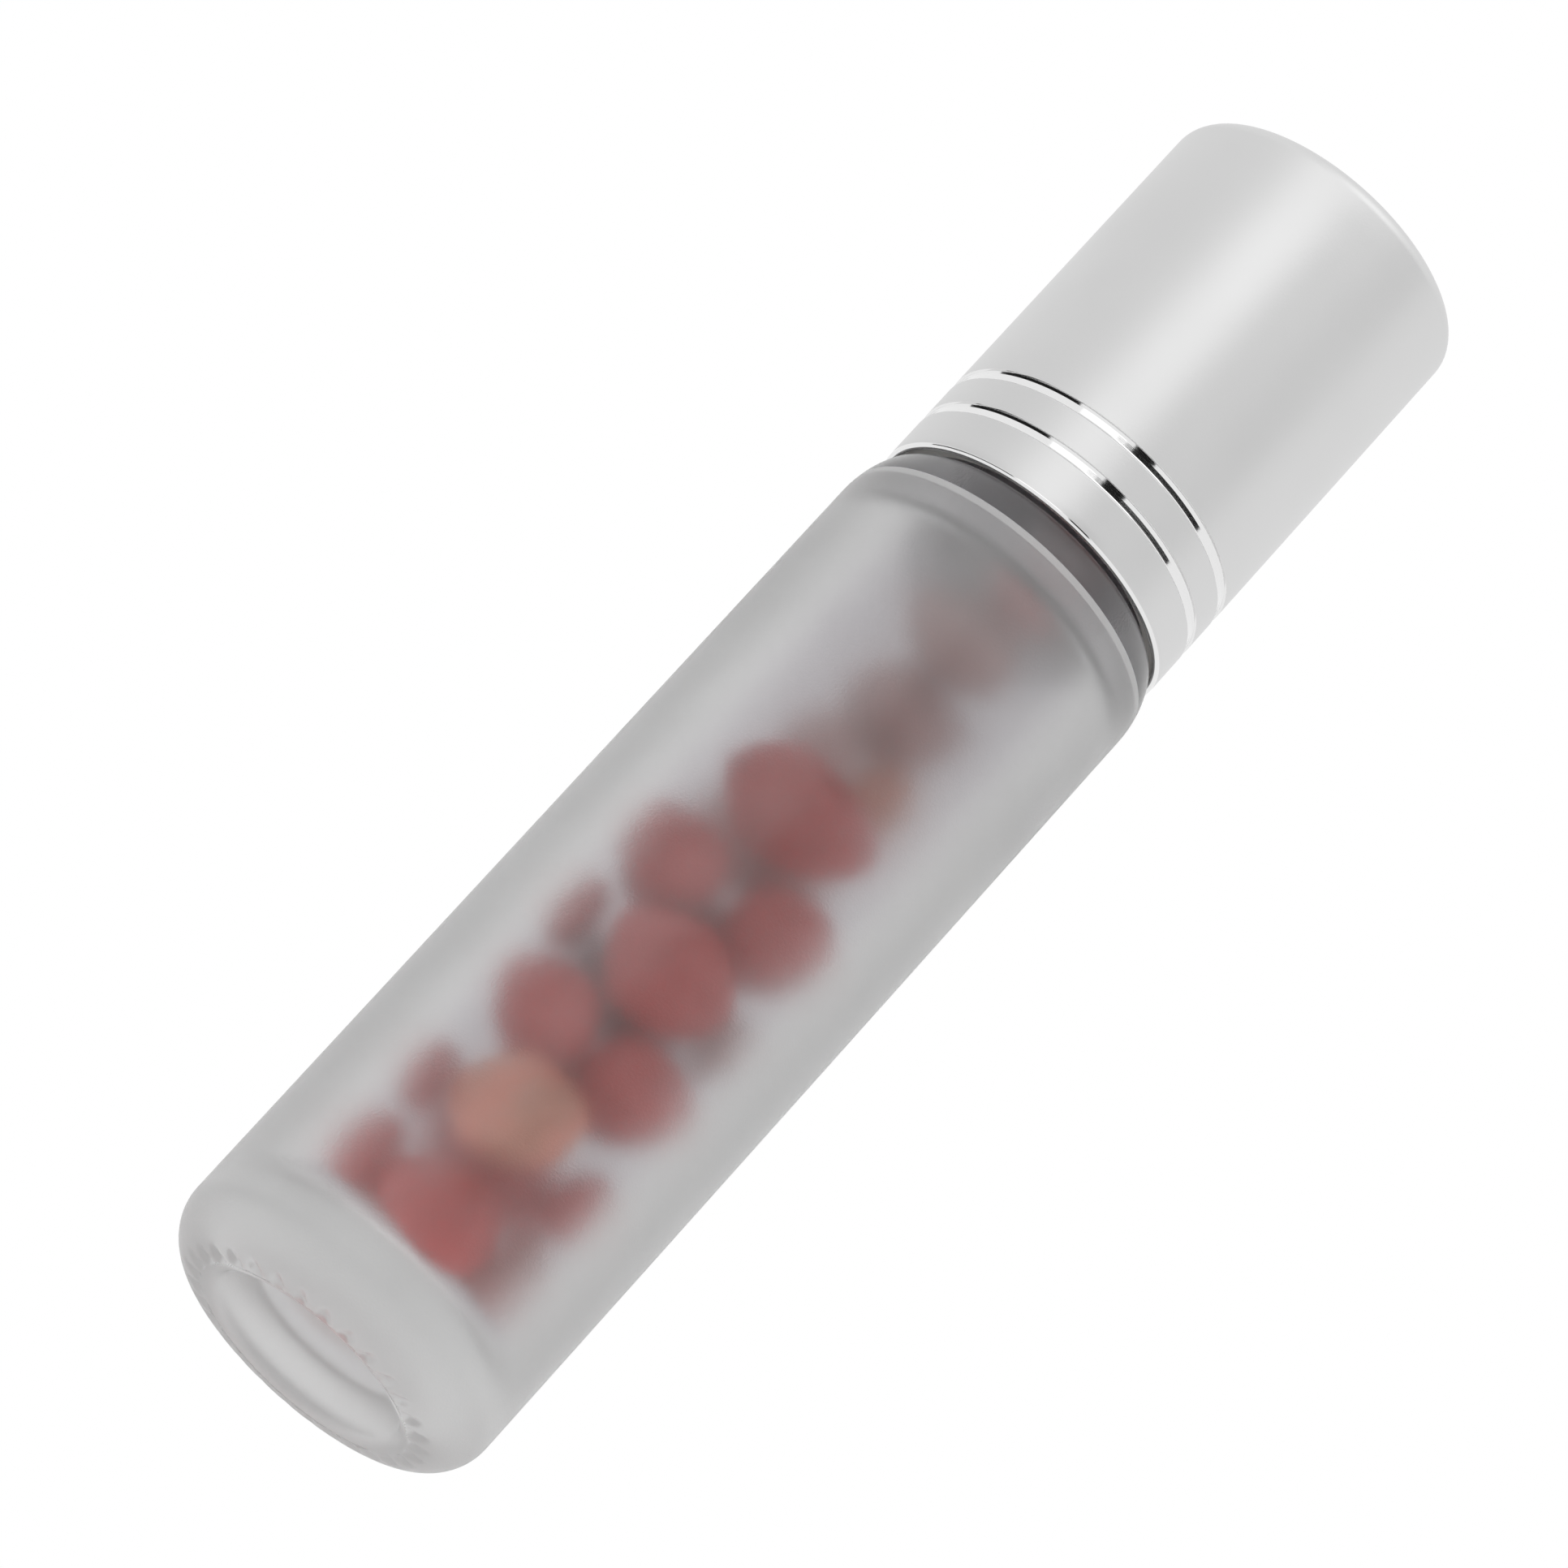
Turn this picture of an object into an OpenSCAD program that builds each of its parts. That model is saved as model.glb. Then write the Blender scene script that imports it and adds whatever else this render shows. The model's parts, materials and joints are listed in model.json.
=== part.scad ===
// A thick-walled frosted glass roll-on bottle with a ball, an aluminium screw cap and stone chips inside.
// The bottle stands on its base at z = 0, with +Z along its axis. Sizes are in millimetres.

/* [Glass body] */
// Outer diameter of the body
body_d = 20; // [19.5:0.1:24]
// Height from the base to the start of the shoulder
body_h = 56.3; // [45:0.1:80]
// Thickness of the glass side wall
wall_t = 3.2; // [2.6:0.1:3.8]
// Thickness of the glass under the hollow
floor_t = 5.3; // [4:0.1:12]
// Radius of the rounded heel
heel_r = 3; // [2:0.1:3.4]
// Radius of the long curve in which the shoulder starts
shoulder_r = 6; // [5:0.1:8]
// Angle through which the long curve turns
shoulder_turn = 25; // [15:1:35]
// Radius of the short curve that ends the shoulder
shoulder_edge_r = 1.4; // [1:0.1:1.6]
// Thickness of the glass at the shoulder
shoulder_t = 2.6; // [1.8:0.1:3.4]
// Radius of the rounded floor of the hollow
hollow_edge_r = 1.5; // [1:0.1:3]

/* [Base] */
// Diameter of the hollow under the base
punt_d = 12.6; // [9:0.1:13]
// Depth of the hollow under the base
punt_depth = 1.8; // [0.5:0.1:3]
// Radius of the curve around the hollow
punt_edge_r = 1.2; // [0.3:0.1:1.6]
// Width of the plain ring that the bottle stands on
foot_land = 0.6; // [0.4:0.05:0.7]
// Number of grip notches around the foot
notch_count = 30; // [16:1:40]
// Radius of one notch
notch_r = 0.55; // [0.4:0.05:0.7]
// Depth of one notch
notch_depth = 0.25; // [0.1:0.05:0.35]

/* [Neck] */
// Outer diameter of the neck
neck_d = 14.2; // [13.6:0.1:14.6]
// Bore of the neck
bore_d = 10.8; // [10.4:0.1:11.2]
// Height of the neck above the shoulder
neck_h = 15.9; // [13:0.1:20]
// Radius of the rounded lip of the neck
lip_r = 0.5; // [0.2:0.1:0.7]
// Reach of the ring under the thread
bead_reach = 0.65; // [0.3:0.05:0.75]
// Height of that ring above the shoulder
bead_h = 2.4; // [1.5:0.1:3.5]

/* [Thread] */
// Rise of the thread in one turn
thread_pitch = 3; // [2.8:0.1:3.6]
// Number of turns of the thread
thread_turns = 1.5; // [1:0.25:2]
// Height of a thread ridge
thread_depth = 0.75; // [0.5:0.05:0.8]
// Width of a ridge where it meets its wall
thread_root_w = 1.5; // [1.2:0.05:1.7]
// Width of a ridge at its crest
thread_crest_w = 0.8; // [0.5:0.05:1]
// Distance from the mouth down to the end of the thread
thread_drop = 2; // [1.6:0.1:3]
// Gap between a crest and the wall across from it
thread_gap = 0.25; // [0.15:0.05:0.4]

/* [Roller] */
// Diameter of the rolling ball
ball_d = 9.5; // [9:0.1:9.8]
// Height of the ball's centre above the mouth
ball_rise = 1.6; // [1.2:0.1:2.4]
// Gap around the ball in its socket
ball_gap = 0.05; // [0.02:0.01:0.1]
// Height of the socket's lip above the ball's centre
socket_lip = 2.2; // [1.5:0.1:2.8]
// Wall of the socket around the ball
socket_t = 0.9; // [0.7:0.05:1]
// Diameter of the feed hole under the ball
feed_d = 6; // [4:0.1:6.5]
// Diameter of the flange that rests on the mouth
flange_d = 13.6; // [12.8:0.1:14]
// Thickness of the flange
flange_t = 1; // [0.7:0.05:1.2]
// Depth of the plug in the neck
plug_depth = 6.5; // [5.8:0.1:8]
// Gap between the plug's wall and the bore
plug_gap = 0.15; // [0.1:0.05:0.25]
// Gap between the plug's sealing rings and the bore
seal_gap = 0.02; // [0.01:0.01:0.05]
// Number of sealing rings
seal_rings = 3; // [2:1:4]
// Radius of a sealing ring
seal_ring_r = 0.25; // [0.2:0.05:0.35]
// Thickness of the seat under the ball
seat_t = 0.9; // [0.6:0.1:1.4]

/* [Cap] */
// Outer diameter of the cap
cap_d = 18.9; // [18.5:0.1:19.4]
// Thickness of the aluminium shell
shell_t = 0.45; // [0.3:0.05:0.5]
// Radius of the cap's top edge
cap_edge_r = 1.05; // [0.6:0.05:2]
// Gap between the cap's lower edge and the shoulder
cap_gap = 0.2; // [0.15:0.05:0.8]
// Height of the lower cut ring above the cap's lower edge
low_ring_h = 3.1; // [2:0.1:5]
// Distance between the two cut rings
ring_step = 2.65; // [1.5:0.05:5]
// Width of a cut ring
ring_w = 0.75; // [0.3:0.05:0.8]
// Depth of a cut ring
ring_depth = 0.15; // [0.05:0.01:0.2]

/* [Cap liner] */
// Thickness of the liner's top
liner_top_t = 1.6; // [1:0.1:2.5]
// Gap between the liner and the shell
shell_gap = 0.02; // [0.01:0.01:0.05]
// Reach of a grip rib on the liner's side
rib_reach = 0.35; // [0.2:0.05:0.4]
// Width of a grip rib
rib_w = 0.6; // [0.4:0.1:1]
// Number of grip ribs
rib_count = 24; // [12:2:32]
// Height of the collars above and below the ribs
collar_h = 1.2; // [0.8:0.1:2]
// Gap between the liner's lower edge and the shoulder
liner_gap = 0.5; // [0.3:0.1:1]
// Thickness of the foam wad
wad_t = 3.2; // [2.4:0.1:4]
// Depth of the ball's dish in the wad
dish_depth = 0.8; // [0.4:0.1:1.2]
// Gap around the wad
wad_gap = 0.05; // [0.03:0.01:0.1]
// Gap between the wad's rim and the liner
wad_side_gap = 0.15; // [0.1:0.05:0.25]
// Radius of the wad's rounded rim
wad_edge_r = 0.4; // [0.1:0.05:0.6]
// Reach of the ring that holds the wad up
keeper_reach = 0.5; // [0.4:0.05:0.6]

/* [Stone chips] */
// Radius of a chip's rounded corners
chip_corner_r = 1.1; // [0.7:0.1:1.3]

/* [Hidden] */
$fn = 96;
overshoot = 1;

// Radii that the sizes above give
body_r = body_d / 2;
cavity_r = body_r - wall_t;
bore_r = bore_d / 2;
neck_r = neck_d / 2;
ball_r = ball_d / 2;
socket_r = ball_r + ball_gap;
crest_r = neck_r + thread_depth;
cap_r = cap_d / 2;
shell_inner_r = cap_r - shell_t;
liner_r = shell_inner_r - shell_gap;
liner_bore_r = crest_r + thread_gap;

// Centre of the shoulder's short curve, which runs on from the long one without a corner
shoulder_centre_r = body_r - shoulder_r;
shoulder_join_r = shoulder_centre_r + shoulder_r * cos(shoulder_turn);
shoulder_join_z = body_h + shoulder_r * sin(shoulder_turn);
edge_centre_r = shoulder_join_r - shoulder_edge_r * cos(shoulder_turn);
edge_centre_z = shoulder_join_z - shoulder_edge_r * sin(shoulder_turn);
shoulder_top = edge_centre_z + shoulder_edge_r;

// Levels up the axis
cavity_top = shoulder_top - shoulder_t;
cavity_h = cavity_top - floor_t;
mouth_z = shoulder_top + neck_h;
thread_z = mouth_z - thread_drop - thread_turns * thread_pitch;
ball_z = mouth_z + ball_rise;
wad_z = ball_z + socket_r - dish_depth;
wad_top = wad_z + wad_t;
liner_ceiling = wad_top + wad_gap;
liner_top = liner_ceiling + liner_top_t;
cap_top = liner_top + shell_gap + shell_t;
liner_bottom = shoulder_top + liner_gap;
liner_edge_r = cap_edge_r - shell_t;
ribs_top = liner_top - liner_edge_r - collar_h;

// Height of the shoulder's surface at a distance from the axis
function shoulder_z(r) =
    r >= body_r ? body_h
    : r > shoulder_join_r ? body_h + sqrt(pow(shoulder_r, 2) - pow(r - shoulder_centre_r, 2))
    : r > edge_centre_r ? edge_centre_z + sqrt(pow(shoulder_edge_r, 2) - pow(r - edge_centre_r, 2))
    : shoulder_top;
cap_bottom = shoulder_z(shell_inner_r) + cap_gap;

// One row is one chip: its centre above the hollow's floor, its half sizes, its turn and its stone.
// The sizes are in hundredths of the hollow's radius for x and y, and of its height for z.
CHIPS = [
    [[0, -50, 6.8], [54, 48, 6.8], 10, "red"],
    [[-2, 49, 6.8], [78, 46, 7], 80, "brown"],
    [[-73, -6, 8.8], [25, 36, 6.6], 30, "red"],
    [[73, -6, 8.8], [25, 36, 6.6], 140, "brown"],
    [[-4, -47, 21], [56, 49, 7.2], 200, "salmon"],
    [[4, 51, 19.8], [80, 44, 6.6], 260, "red"],
    [[-77, -2, 19.8], [20, 32, 4.8], 75, "red"],
    [[77, -4, 20], [21, 34, 5], 330, "red"],
    [[-46, -21, 32.4], [50, 52, 6.8], 20, "red"],
    [[50, -15, 32.2], [50, 50, 6.8], 75, "red"],
    [[2, 62, 31.4], [52, 35, 6.2], 120, "dark"],
    [[12, -47, 43], [61, 48, 7], 130, "red"],
    [[-4, 47, 42.4], [72, 44, 6], 310, "dark"],
    [[-77, -2, 43], [20, 34, 5], 225, "red"],
    [[79, 4, 43.2], [18, 32, 5], 50, "brown"],
    [[-48, -18, 54], [49, 52, 6.8], 50, "red"],
    [[47, -16, 54.6], [48, 50, 6.8], 170, "red"],
    [[-2, 60, 53], [50, 36, 5.4], 240, "brown"],
    [[-4, -46, 65.4], [78, 48, 6.8], 95, "red"],
    [[2, 48, 64.2], [76, 44, 6], 215, "brown"],
    [[-26, 40, 76.2], [34, 50, 6], 340, "brown"],
    [[39, 38, 75.4], [31, 48, 6.2], 15, "orange"],
    [[8, 44, 85.8], [64, 50, 5.6], 65, "brown"],
    [[6, 14, 95], [62, 54, 5.2], 120, "brown"],
    [[18, 8, 103.6], [42, 42, 4.8], 280, "red"],
];

hollow_share = [cavity_r, cavity_r, cavity_h] / 100;
chip_corners = 9;
golden_angle = 137.5;

// Colours of the stones
function stone_colour(stone) =
    stone == "salmon" ? "#c98a7e"
    : stone == "red" ? "#a34a48"
    : stone == "brown" ? "#8a5448"
    : stone == "orange" ? "#b8704a"
    : "#5e3a42";

function two_digits(n) = n < 10 ? str("0", n) : str(n);
function chip_name(i) = str("stone_", two_digits(i + 1));

CHIP_NODES = [for (i = [0 : len(CHIPS) - 1]) chip_name(i)];

// A thread ridge up a right-handed helix. out is 1 on the neck and -1 in the cap.
// Its flanks run on into the wall, and it sinks into the wall at both ends.
module thread_ridge(wall_r, out, start_z) {
    steps_per_turn = 36;
    start_angle = 5;
    taper_steps = 5;
    smallest_share = 0.15;
    sunk = 0.3;
    points_per_ring = 4;
    steps = round(thread_turns * steps_per_turn);
    flank = (thread_root_w - thread_crest_w) / 2 / thread_depth;
    sunk_w = thread_root_w + 2 * sunk * flank;
    function share(i) = max(smallest_share, min(1, i / taper_steps, (steps - i) / taper_steps));
    function section(i) =
        let (crest = wall_r + out * thread_depth * share(i), inside = wall_r - out * sunk)
        [
            [inside, -sunk_w / 2],
            [crest, -thread_crest_w / 2],
            [crest, thread_crest_w / 2],
            [inside, sunk_w / 2],
        ];
    function placed(p, i) =
        let (a = start_angle + i * 360 / steps_per_turn)
        [p[0] * cos(a), p[0] * sin(a), start_z + p[1] + thread_pitch * i / steps_per_turn];
    corners = [for (i = [0 : steps]) each [for (p = section(i)) placed(p, i)]];
    sides = [
        for (i = [0 : steps - 1], j = [0 : points_per_ring - 1])
        let (k = (j + 1) % points_per_ring, low = i * points_per_ring, high = low + points_per_ring)
        out > 0 ? [low + j, high + j, high + k, low + k] : [low + k, high + k, high + j, low + j]
    ];
    first = [for (j = [0 : points_per_ring - 1]) out > 0 ? points_per_ring - 1 - j : j];
    last = [for (j = first) steps * points_per_ring + points_per_ring - 1 - j];
    polyhedron(corners, concat(sides, [first, last]));
}

// Outline of the glass, from the axis outwards
module glass_outline() {
    translate([0, heel_r]) square([body_r, body_h - heel_r]);
    square([body_r - heel_r, body_h]);
    translate([body_r - heel_r, heel_r]) circle(heel_r);
    intersection() {
        translate([shoulder_centre_r, body_h]) circle(shoulder_r);
        translate([0, body_h]) square([body_r, shoulder_join_z - body_h]);
    }
    intersection() {
        translate([edge_centre_r, edge_centre_z]) circle(shoulder_edge_r);
        translate([0, shoulder_join_z]) square([body_r, shoulder_edge_r]);
    }
    translate([0, body_h]) square([edge_centre_r, shoulder_top - body_h]);
    translate([0, shoulder_top]) square([neck_r, neck_h - lip_r]);
    translate([0, shoulder_top]) square([neck_r - lip_r, neck_h]);
    translate([neck_r - lip_r, mouth_z - lip_r]) circle(lip_r);
    translate([neck_r, shoulder_top + bead_h]) circle(bead_reach);
}

// Outline of the hollow, with a rounded floor and a rounded top
module hollow_outline() {
    top_r = cavity_r - bore_r;
    edge_z = floor_t + hollow_edge_r;
    translate([0, edge_z]) square([cavity_r, cavity_top - top_r - edge_z]);
    translate([0, floor_t]) square([cavity_r - hollow_edge_r, hollow_edge_r + overshoot]);
    translate([cavity_r - hollow_edge_r, edge_z]) circle(hollow_edge_r);
    translate([bore_r, cavity_top - top_r]) circle(top_r);
    translate([0, cavity_top - top_r - overshoot])
        square([bore_r, mouth_z - cavity_top + top_r + 2 * overshoot]);
}

// Outline of the recess under the base
module punt_outline() {
    punt_r = punt_d / 2;
    edge = min(punt_edge_r, punt_depth);
    translate([0, -overshoot]) square([punt_r, punt_depth - edge + overshoot]);
    translate([0, -overshoot]) square([punt_r - edge, punt_depth + overshoot]);
    translate([punt_r - edge, punt_depth - edge]) circle(edge);
}

// One outline kept to the side of the axis that is turned
module turned() {
    rotate_extrude()
        intersection() {
            children();
            translate([0, -overshoot]) square([body_d, 2 * cap_top]);
        }
}

// Notches in the outer edge of the foot, which leave a plain ring to stand on
module foot_notches() {
    start = punt_d / 2 + foot_land;
    for (i = [0 : notch_count - 1])
        rotate([0, 0, i * 360 / notch_count])
            translate([start, 0, notch_depth - notch_r])
                rotate([0, 90, 0])
                    cylinder(r = notch_r, h = body_r - start);
}

module bottle() {
    color("#c4c2c6")
        union() {
            difference() {
                turned() difference() {
                    glass_outline();
                    hollow_outline();
                    punt_outline();
                }
                foot_notches();
            }
            thread_ridge(neck_r, 1, thread_z);
        }
}

module roller_housing() {
    plug_r = bore_r - plug_gap;
    plug_bottom = mouth_z - plug_depth;
    seal_step = plug_depth / (seal_rings + 1);
    well_r = plug_r - socket_t;
    well_top = ball_z - socket_r - seat_t;
    color("#e8e8e4")
        turned() difference() {
            union() {
                translate([0, plug_bottom]) square([plug_r, plug_depth]);
                translate([0, mouth_z]) square([flange_d / 2, flange_t]);
                intersection() {
                    translate([0, ball_z]) circle(socket_r + socket_t);
                    translate([0, mouth_z]) square([body_r, ball_rise + socket_lip]);
                }
                for (i = [1 : seal_rings])
                    translate([bore_r - seal_gap - seal_ring_r, mouth_z - i * seal_step]) circle(seal_ring_r);
            }
            translate([0, ball_z]) circle(socket_r);
            translate([0, plug_bottom - overshoot]) square([feed_d / 2, plug_depth]);
            translate([0, plug_bottom - overshoot]) square([well_r, well_top - plug_bottom + overshoot]);
        }
}

module roller_ball() {
    color("#b8bcc0") translate([0, 0, ball_z]) sphere(ball_r);
}

// Outline of the shell, with its hemmed lower edge and its cut rings
module shell_outline() {
    cut_r = (pow(ring_w / 2, 2) + pow(ring_depth, 2)) / (2 * ring_depth);
    hem_r = shell_t / 2;
    difference() {
        union() {
            translate([0, cap_bottom + hem_r]) square([cap_r, cap_top - cap_bottom - hem_r - cap_edge_r]);
            translate([0, cap_bottom + hem_r]) square([cap_r - cap_edge_r, cap_top - cap_bottom - hem_r]);
            translate([cap_r - cap_edge_r, cap_top - cap_edge_r]) circle(cap_edge_r);
            translate([cap_r - hem_r, cap_bottom + hem_r]) circle(hem_r);
        }
        translate([0, cap_bottom - overshoot])
            square([shell_inner_r, cap_top - cap_edge_r - cap_bottom + overshoot]);
        translate([0, cap_bottom]) square([shell_inner_r - liner_edge_r, cap_top - shell_t - cap_bottom]);
        translate([shell_inner_r - liner_edge_r, cap_top - cap_edge_r]) circle(liner_edge_r);
        for (h = [low_ring_h, low_ring_h + ring_step])
            translate([cap_r - ring_depth + cut_r, cap_bottom + h]) circle(cut_r);
    }
}

module cap_shell() {
    color("#c8c8ca") turned() shell_outline();
}

// Outline of the liner without its ribs, with the ring that keeps the wad up
module liner_outline() {
    difference() {
        union() {
            translate([0, liner_bottom]) square([liner_r - rib_reach, ribs_top - liner_bottom]);
            translate([0, liner_bottom]) square([liner_r, collar_h]);
            translate([0, ribs_top]) square([liner_r, collar_h]);
            translate([0, ribs_top]) square([liner_r - liner_edge_r, liner_top - ribs_top]);
            translate([liner_r - liner_edge_r, liner_top - liner_edge_r]) circle(liner_edge_r);
        }
        difference() {
            translate([0, liner_bottom - overshoot])
                square([liner_bore_r, liner_ceiling - liner_bottom + overshoot]);
            translate([liner_bore_r, wad_z - wad_gap - keeper_reach]) circle(keeper_reach);
        }
    }
}

module cap_liner() {
    rib_root_r = (liner_bore_r + liner_r - rib_reach) / 2;
    rib_face_r = liner_r - rib_w * rib_w / (2 * liner_r);
    color("#dcdcd8")
        union() {
            turned() liner_outline();
            for (i = [0 : rib_count - 1])
                rotate([0, 0, i * 360 / rib_count])
                    translate([rib_root_r, -rib_w / 2, liner_bottom + collar_h / 2])
                        cube([rib_face_r - rib_root_r, rib_w, ribs_top - liner_bottom]);
            rotate([0, 0, 180]) thread_ridge(liner_bore_r, -1, thread_z);
        }
}

module cap_wad() {
    wad_r = liner_bore_r - wad_side_gap;
    color("#f0eee8")
        turned() difference() {
            union() {
                translate([0, wad_z]) square([wad_r - wad_edge_r, wad_t]);
                translate([0, wad_z + wad_edge_r]) square([wad_r, wad_t - 2 * wad_edge_r]);
                for (z = [wad_z + wad_edge_r, wad_top - wad_edge_r])
                    translate([wad_r - wad_edge_r, z]) circle(wad_edge_r);
            }
            translate([0, ball_z]) circle(socket_r);
        }
}

// A tumbled chip: rounded corners spread evenly over an egg shape and moved a little in or out
module chip(i) {
    corner_fn = 14;
    unevenness = 0.1;
    reach = [for (k = [0 : 2]) CHIPS[i][1][k] * hollow_share[k] - chip_corner_r];
    swell = rands(1 - unevenness, 1 + unevenness, chip_corners, i + 1);
    centre = [for (k = [0 : 2]) CHIPS[i][0][k] * hollow_share[k]];
    color(stone_colour(CHIPS[i][3]))
        translate([centre[0], centre[1], floor_t + centre[2]])
            hull()
                for (k = [0 : chip_corners - 1])
                    let (
                        up = 1 - (2 * k + 1) / chip_corners,
                        side = sqrt(1 - up * up),
                        a = CHIPS[i][2] + k * golden_angle
                    )
                    translate([
                        reach[0] * side * cos(a) * swell[k],
                        reach[1] * side * sin(a) * swell[k],
                        reach[2] * up * swell[k]
                    ])
                        sphere(chip_corner_r, $fn = corner_fn);
}

bottle();
roller_housing();
roller_ball();
cap_shell();
cap_liner();
cap_wad();
for (i = [0 : len(CHIPS) - 1])
    chip(i);
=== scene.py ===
import json
import math

import bmesh
import bpy
from bpy.props import FloatProperty, FloatVectorProperty, IntProperty, PointerProperty
from mathutils import Matrix, Quaternion, Vector


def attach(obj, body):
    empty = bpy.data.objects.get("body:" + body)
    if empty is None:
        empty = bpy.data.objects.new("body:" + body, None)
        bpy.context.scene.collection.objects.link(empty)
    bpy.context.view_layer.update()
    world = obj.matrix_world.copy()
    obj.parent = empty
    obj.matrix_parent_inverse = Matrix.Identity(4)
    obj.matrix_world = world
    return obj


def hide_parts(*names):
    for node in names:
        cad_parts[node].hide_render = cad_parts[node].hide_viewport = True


bl_info = {
    "name": "Roll-on Bottle",
    "version": (1, 0, 0),
    "blender": (4, 5, 0),
    "location": "View3D > Sidebar > Roll-on Bottle",
    "description": "Dresses the packed roll-on bottle: etched glass, stone chips, roller and aluminium cap",
    "category": "Object",
}

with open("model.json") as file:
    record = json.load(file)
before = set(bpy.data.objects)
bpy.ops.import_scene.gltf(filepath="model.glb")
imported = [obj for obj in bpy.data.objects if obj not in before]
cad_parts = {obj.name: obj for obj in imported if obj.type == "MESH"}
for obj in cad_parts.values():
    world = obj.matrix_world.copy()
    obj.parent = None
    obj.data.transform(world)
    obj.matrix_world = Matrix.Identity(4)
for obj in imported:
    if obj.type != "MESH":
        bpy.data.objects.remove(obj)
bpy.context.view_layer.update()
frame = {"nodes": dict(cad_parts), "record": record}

MM = 0.001
# How far off a surface a point may be and still count as on it.
HAIR = 0.01 * MM
# The width of the fine row of faces at the inner end of the grip notches.
NOTCH_STEP = 0.04 * MM
# The cut of one ring on the cap, from its upper edge down: the share of the ring's depth, the share of its
# half width, and the steps to there.
RING_CUT = [(0, 1, 15), (0.7, 0.9, 3), (1, 0.45, 6), (1, -0.6, 6), (0.85, -0.72, 3), (0, -1, 3)]
# Each flag's azimuths and elevations in degrees, and its distance in metres.
FLAGS = {
    "flag_right": ((2, 72), (22.5, 29), 0.6),
    "flag_tail": ((-13, 2), (25, 27), 0.6),
    "flag_left": ((-110, -44), (-8, 9), 0.6),
    "flag_camera": ((0, 17), (-9, 29), 0.59),
}


def to_linear(hex_colour):
    """The linear red, green and blue of an sRGB hex colour."""
    channels = [int(hex_colour[i:i + 2], 16) / 255 for i in (1, 3, 5)]
    return [c / 12.92 if c <= 0.04045 else ((c + 0.055) / 1.055) ** 2.4 for c in channels]


def with_alpha(rgb):
    """A colour with full alpha, as a colour socket takes it."""
    return (*rgb[:3], 1.0)


def length(name, description, default_mm):
    """A length in the settings, written in millimetres and kept in metres."""
    return FloatProperty(
        name=name, description=description, default=default_mm * MM, unit="LENGTH", precision=5
    )


def colour(name, description, hex_colour):
    """A colour in the settings."""
    return FloatVectorProperty(
        name=name, description=description, default=to_linear(hex_colour), size=3, min=0, max=1,
        subtype="COLOR",
    )


def number(name, description, default, low=0):
    """A plain number in the settings, and the lowest that it may be."""
    return FloatProperty(name=name, description=description, default=default, min=low)


class GlassSettings(bpy.types.PropertyGroup):
    """Sizes and colours of the glass body"""

    body_radius: length("Body radius", "Outer radius of the glass body", 10)
    straight_top: length("Straight side", "Height at which the shoulder starts", 56.3)
    cavity_radius: length("Hollow radius", "Radius of the hollow in the glass", 6.8)
    floor_height: length("Floor", "Thickness of the glass under the hollow", 5.3)
    heel_radius: length("Heel", "Radius of the rounded heel", 3)
    shoulder_radius: length("Shoulder round", "Radius of the shoulder's large round", 6)
    shoulder_edge: length("Shoulder edge", "Radius of the round at the shoulder's top", 1.4)
    shoulder_turn: number("Shoulder turn", "Turn of the large round, in degrees", 25)
    shoulder_top: length("Shoulder", "Height of the flat top of the shoulder", 59.644)
    shoulder_wall: length("Shoulder wall", "Thickness of the glass above the hollow", 2.6)
    neck_radius: length("Neck radius", "Outer radius of the neck", 7.1)
    bore_radius: length("Bore radius", "Radius of the neck's bore", 5.4)
    mouth_height: length("Mouth", "Height of the neck's mouth", 75.544)
    punt_radius: length("Recess radius", "Radius of the recess under the base", 6.3)
    punt_depth: length("Recess depth", "Depth of the recess under the base", 1.8)
    notch_count: IntProperty(
        name="Notches", description="Number of grip notches in the foot", default=30, min=3
    )
    notch_radius: length("Notch radius", "Radius of one notch", 0.55)
    notch_depth: length("Notch depth", "Depth of one notch", 0.25)
    mask_edge: length("Mask edge", "Height of the etching mask's edge above the straight side", 1)
    # Along this line the glass is milkier, a painted highlight just below the mask's edge.
    highlight_line_width: length("Mask line", "Width of the line along the mask where the acid pools", 0.4)
    etched_tint: colour("Etched glass", "Tint of the acid-etched outer surface", "#FCFCFC")
    # The shoulder's grey tint is painted shade under the cap.
    shoulder_painted_shade: colour("Shoulder glass", "Tint of the lightly etched shoulder", "#CDCDCF")
    neck_tint: colour("Neck glass", "Tint of the masked neck", "#F6F6F8")
    clear_tint: colour("Inner glass", "Tint of the smooth inner surface", "#FBF7FC")
    absorbed: colour("Glass body tint", "Colour that light keeps inside the glass", "#D8D9D8")
    absorption: number("Absorption", "Density of the glass, per metre", 15)


class ThreadSettings(bpy.types.PropertyGroup):
    """Sizes of the screw thread on the neck"""

    pitch: length("Pitch", "Rise of the thread in one turn", 3)
    turns: number("Turns", "Number of turns of the thread", 1.5, low=0.5)
    start: length("Start", "Height of the thread's lower end", 69.044)
    depth: length("Depth", "Height of the ridge", 0.75)
    root: length("Root", "Width of the ridge at its wall", 1.5)
    crest: length("Crest", "Width of the ridge at its crest", 0.8)
    band_low: length("Band below", "Height at which the neck's fine mesh starts", 67.5)
    band_high: length("Band above", "Height at which the neck's fine mesh ends", 75)


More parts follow.
